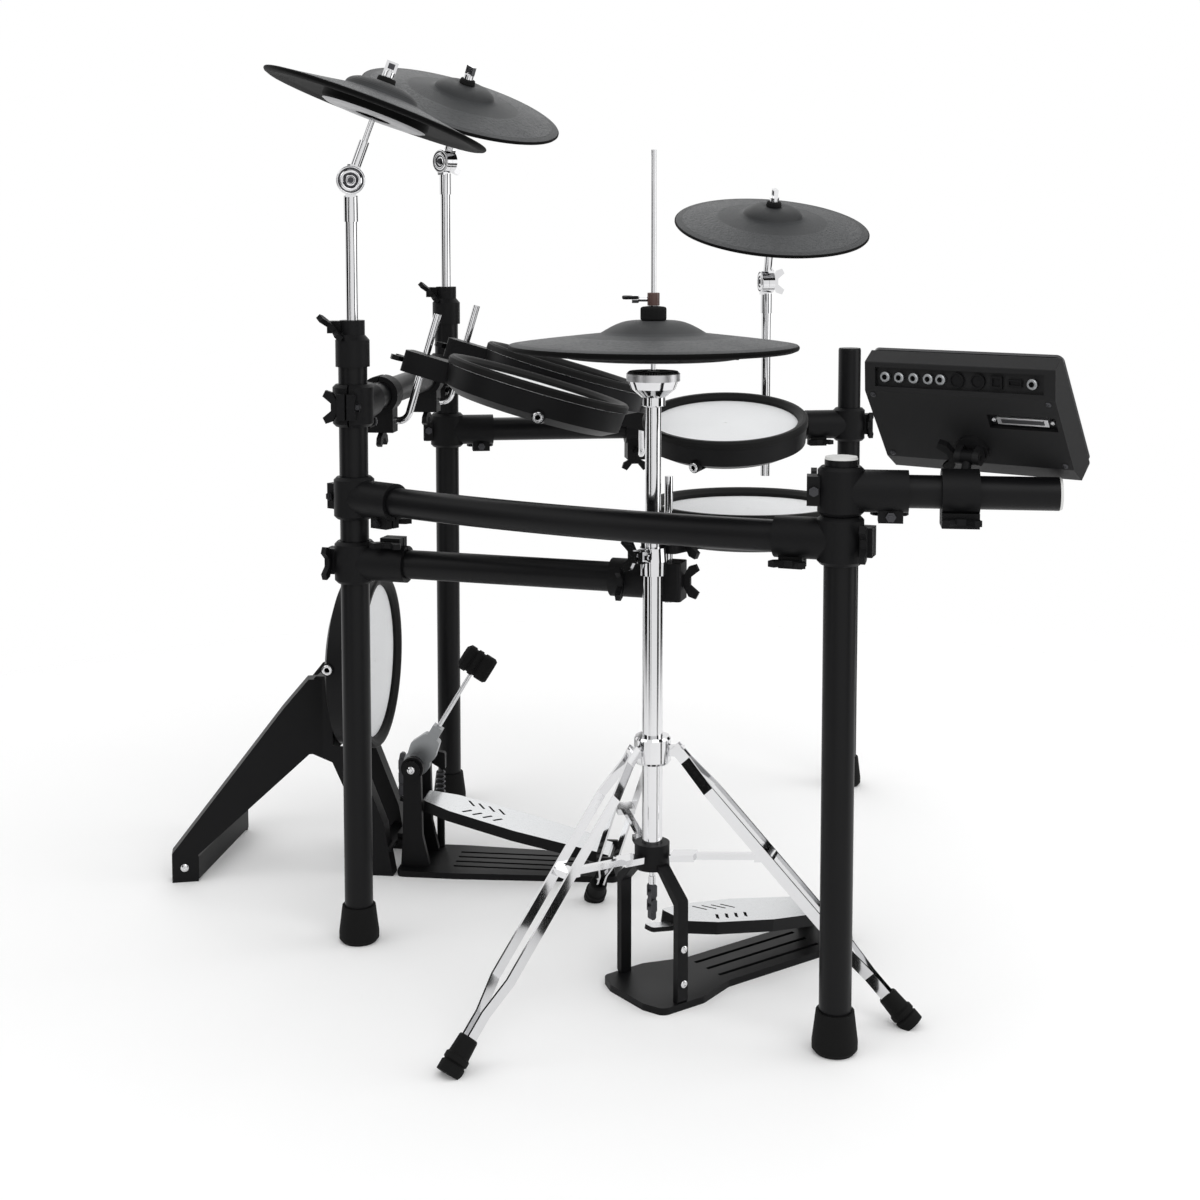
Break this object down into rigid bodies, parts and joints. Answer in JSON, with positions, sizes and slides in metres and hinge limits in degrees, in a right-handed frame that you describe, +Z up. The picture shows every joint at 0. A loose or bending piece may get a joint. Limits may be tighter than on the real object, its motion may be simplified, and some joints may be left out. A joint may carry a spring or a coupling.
{
  "type": "electronic drum kit",
  "caption": "Electronic drum kit on a black tube rack: mesh drum pads, rubber cymbal pads on booms, a hi-hat stand, a kick tower with pedal and a tilting sound module.",
  "frame": {"origin": "on the floor under the middle of the kick pedal's base plate", "axes": "+X to the player's right, +Y away from the player, +Z up"},
  "size_m": [1.2972, 1.2519, 1.2305],
  "materials": {
    "black_tube": "satin",
    "black_casting": "matte",
    "foot_rubber": "matte",
    "chrome": "polished",
    "pedal_steel": "brushed",
    "pedal_black": "satin",
    "chain_black": "satin",
    "pad_rubber": "matte",
    "shell_black": "matte",
    "mesh_white": "woven",
    "case_black": "matte",
    "panel_black": "satin",
    "socket_metal": "satin",
    "knob_grey": "matte"
  },
  "bodies": {
    "rack": {"front_posts": "black_tube", "front_bar": "black_tube", "front_clamps": "black_casting", "boom_holders": "black_casting", "front_feet": "foot_rubber", "tom_rods": "chrome", "kick_tower": "pedal_black", "kick_pad_shell": "shell_black", "kick_pad_head": "mesh_white", "kick_pedal_base": "pedal_black", "kick_spring": "chrome", "kick_chain": "chain_black", "hihat_pedal_frame": "pedal_black", "hihat_lower_tube": "chrome", "hihat_legs": "chrome", "hihat_feet": "foot_rubber"},
    "left_wing": {"left_bar": "black_tube", "left_clamps": "black_casting", "rear_left_post": "black_tube", "rear_left_foot": "foot_rubber", "module_arm": "black_tube", "module_mount": "black_casting"},
    "right_wing": {"right_bar": "black_tube", "right_clamps": "black_casting", "rear_right_post": "black_tube", "rear_right_foot": "foot_rubber", "floor_tom_rod": "chrome"},
    "snare_arm": {"snare_arm_tube": "black_tube", "snare_arm_clamps": "black_casting", "snare_rod": "chrome"},
    "module": {"module_case": "case_black", "module_panel": "panel_black", "module_sockets": "socket_metal"},
    "volume_knob": {"volume_knob": "knob_grey"},
    "data_dial": {"data_dial": "knob_grey"},
    "start_button": {"start_button": "knob_grey"},
    "tom_1": {"tom_1_shell": "shell_black", "tom_1_head": "mesh_white"},
    "tom_2": {"tom_2_shell": "shell_black", "tom_2_head": "mesh_white"},
    "floor_tom": {"floor_tom_shell": "shell_black", "floor_tom_head": "mesh_white"},
    "snare": {"snare_shell": "shell_black", "snare_head": "mesh_white"},
    "crash_1_boom": {"crash_1_boom": "chrome"},
    "crash_1_tilter": {"crash_1_tilter": "chrome"},
    "crash_1_pad": {"crash_1_pad": "pad_rubber"},
    "crash_2_boom": {"crash_2_boom": "chrome"},
    "crash_2_tilter": {"crash_2_tilter": "chrome"},
    "crash_2_pad": {"crash_2_pad": "pad_rubber"},
    "ride_boom": {"ride_boom": "chrome"},
    "ride_tilter": {"ride_tilter": "chrome"},
    "ride_pad": {"ride_pad": "pad_rubber"},
    "hihat_upper_tube": {"hihat_upper_tube": "chrome"},
    "hihat_pull_rod": {"hihat_pull_rod": "chrome", "hihat_chain": "chain_black"},
    "hihat_pad": {"hihat_pad": "pad_rubber"},
    "hihat_footboard": {"hihat_footboard": "pedal_steel"},
    "kick_footboard": {"kick_footboard": "pedal_steel"},
    "kick_beater": {"kick_beater": "pedal_steel"}
  },
  "joints": [
    {"name": "left_wing_swing", "type": "hinge", "parent": "rack", "child": "left_wing", "pos_m": [-0.3, 0.174, 0], "axis": [0, 0, 1], "range_deg": [-10, 3]},
    {"name": "right_wing_swing", "type": "hinge", "parent": "rack", "child": "right_wing", "pos_m": [0.3, 0.174, 0], "axis": [0, 0, 1], "range_deg": [-2, 12]},
    {"name": "snare_arm_swing", "type": "hinge", "parent": "rack", "child": "snare_arm", "pos_m": [-0.3, 0.174, 0], "axis": [0, 0, 1], "range_deg": [0, 15]},
    {"name": "module_tilt", "type": "hinge", "parent": "left_wing", "child": "module", "pos_m": [-0.53409, -0.6066, 0.70069], "axis": [0.4848, 0.8746, 0], "range_deg": [-24, 4]},
    {"name": "volume_knob_turn", "type": "hinge", "parent": "module", "child": "volume_knob", "pos_m": [-0.48684, -0.53903, 0.79097], "axis": [0.7076, -0.3922, 0.5878], "range_deg": [-140, 140]},
    {"name": "data_dial_turn", "type": "hinge", "parent": "module", "child": "data_dial", "pos_m": [-0.54607, -0.68227, 0.7667], "axis": [0.7076, -0.3922, 0.5878], "continuous": true},
    {"name": "start_button_press", "type": "slide", "parent": "module", "child": "start_button", "axis": [-0.7076, 0.3922, -0.5878], "range_m": [0, 0.0015], "stiffness_N_per_m": 400, "springref_m": -0.002},
    {"name": "tom_1_height", "type": "slide", "parent": "rack", "child": "tom_1", "axis": [0.0663, -0.2762, 0.9588], "range_m": [-0.01, 0.03]},
    {"name": "tom_2_height", "type": "slide", "parent": "rack", "child": "tom_2", "axis": [0.0663, -0.2762, 0.9588], "range_m": [-0.01, 0.03]},
    {"name": "floor_tom_height", "type": "slide", "parent": "right_wing", "child": "floor_tom", "axis": [-0.2079, 0, 0.9781], "range_m": [-0.03, 0.01]},
    {"name": "snare_height", "type": "slide", "parent": "snare_arm", "child": "snare", "axis": [0, 0, 1], "range_m": [-0.012, 0.05]},
    {"name": "crash_1_height", "type": "slide", "parent": "rack", "child": "crash_1_boom", "axis": [0, 0, 1], "range_m": [-0.08, 0.06]},
    {"name": "crash_1_tilt", "type": "hinge", "parent": "crash_1_boom", "child": "crash_1_tilter", "pos_m": [-0.3, 0.174, 1.024], "axis": [0.9613, 0.2756, 0], "range_deg": [-25, 20]},
    {"name": "crash_1_rock", "type": "hinge", "parent": "crash_1_tilter", "child": "crash_1_pad", "pos_m": [-0.28843, 0.13365, 1.13749], "axis": [0.9613, 0.2756, 0], "range_deg": [-4, 4], "stiffness_Nm_per_rad": 8},
    {"name": "crash_2_height", "type": "slide", "parent": "rack", "child": "crash_2_boom", "axis": [0, 0, 1], "range_m": [-0.08, 0.06]},
    {"name": "crash_2_tilt", "type": "hinge", "parent": "crash_2_boom", "child": "crash_2_tilter", "pos_m": [0.3, 0.174, 1.072], "axis": [0.7986, -0.6018, 0], "range_deg": [-25, 20]},
    {"name": "crash_2_rock", "type": "hinge", "parent": "crash_2_tilter", "child": "crash_2_pad", "pos_m": [0.27038, 0.1347, 1.18254], "axis": [0.7986, -0.6018, 0], "range_deg": [-4, 4], "stiffness_Nm_per_rad": 8},
    {"name": "ride_height", "type": "slide", "parent": "right_wing", "child": "ride_boom", "axis": [0, 0, 1], "range_m": [-0.02, 0.08]},
    {"name": "ride_tilt", "type": "hinge", "parent": "ride_boom", "child": "ride_tilter", "pos_m": [0.48327, -0.34678, 0.872], "axis": [0.309, -0.9511, 0], "range_deg": [-25, 20]},
    {"name": "ride_rock", "type": "hinge", "parent": "ride_tilter", "child": "ride_pad", "pos_m": [0.44905, -0.3579, 0.98753], "axis": [0.309, -0.9511, 0], "range_deg": [-4, 4], "stiffness_Nm_per_rad": 8},
    {"name": "hihat_column_height", "type": "slide", "parent": "rack", "child": "hihat_upper_tube", "axis": [0, 0, 1], "range_m": [-0.05, 0.01]},
    {"name": "hihat_pedal", "type": "hinge", "parent": "rack", "child": "hihat_footboard", "pos_m": [-0.21813, -0.45148, 0.038], "axis": [-0.7314, -0.682, 0], "range_deg": [0, 2.7], "stiffness_Nm_per_rad": 60, "springref_deg": -11.46},
    {"name": "hihat_pull", "type": "slide", "parent": "rack", "child": "hihat_pull_rod", "axis": [0, 0, 1], "range_m": [-0.0143, 0]},
    {"name": "hihat_clutch", "type": "slide", "parent": "hihat_pull_rod", "child": "hihat_pad", "axis": [0, 0, 1], "range_m": [0, 0.05]},
    {"name": "kick_pedal", "type": "hinge", "parent": "rack", "child": "kick_footboard", "pos_m": [0, -0.132, 0.026], "axis": [-1, 0, 0], "range_deg": [0, 6], "stiffness_Nm_per_rad": 20, "springref_deg": -14.32, "deforming": ["kick_chain", "kick_spring"]},
    {"name": "kick_beater_swing", "type": "hinge", "parent": "rack", "child": "kick_beater", "pos_m": [0, 0.16, 0.158], "axis": [-1, 0, 0], "range_deg": [0, 42.1]}
  ],
  "couplings": [
    {"joint": "hihat_pull", "follows": "hihat_pedal", "m_per_rad": -0.296},
    {"joint": "kick_beater_swing", "follows": "kick_pedal", "ratio": 7}
  ]
}
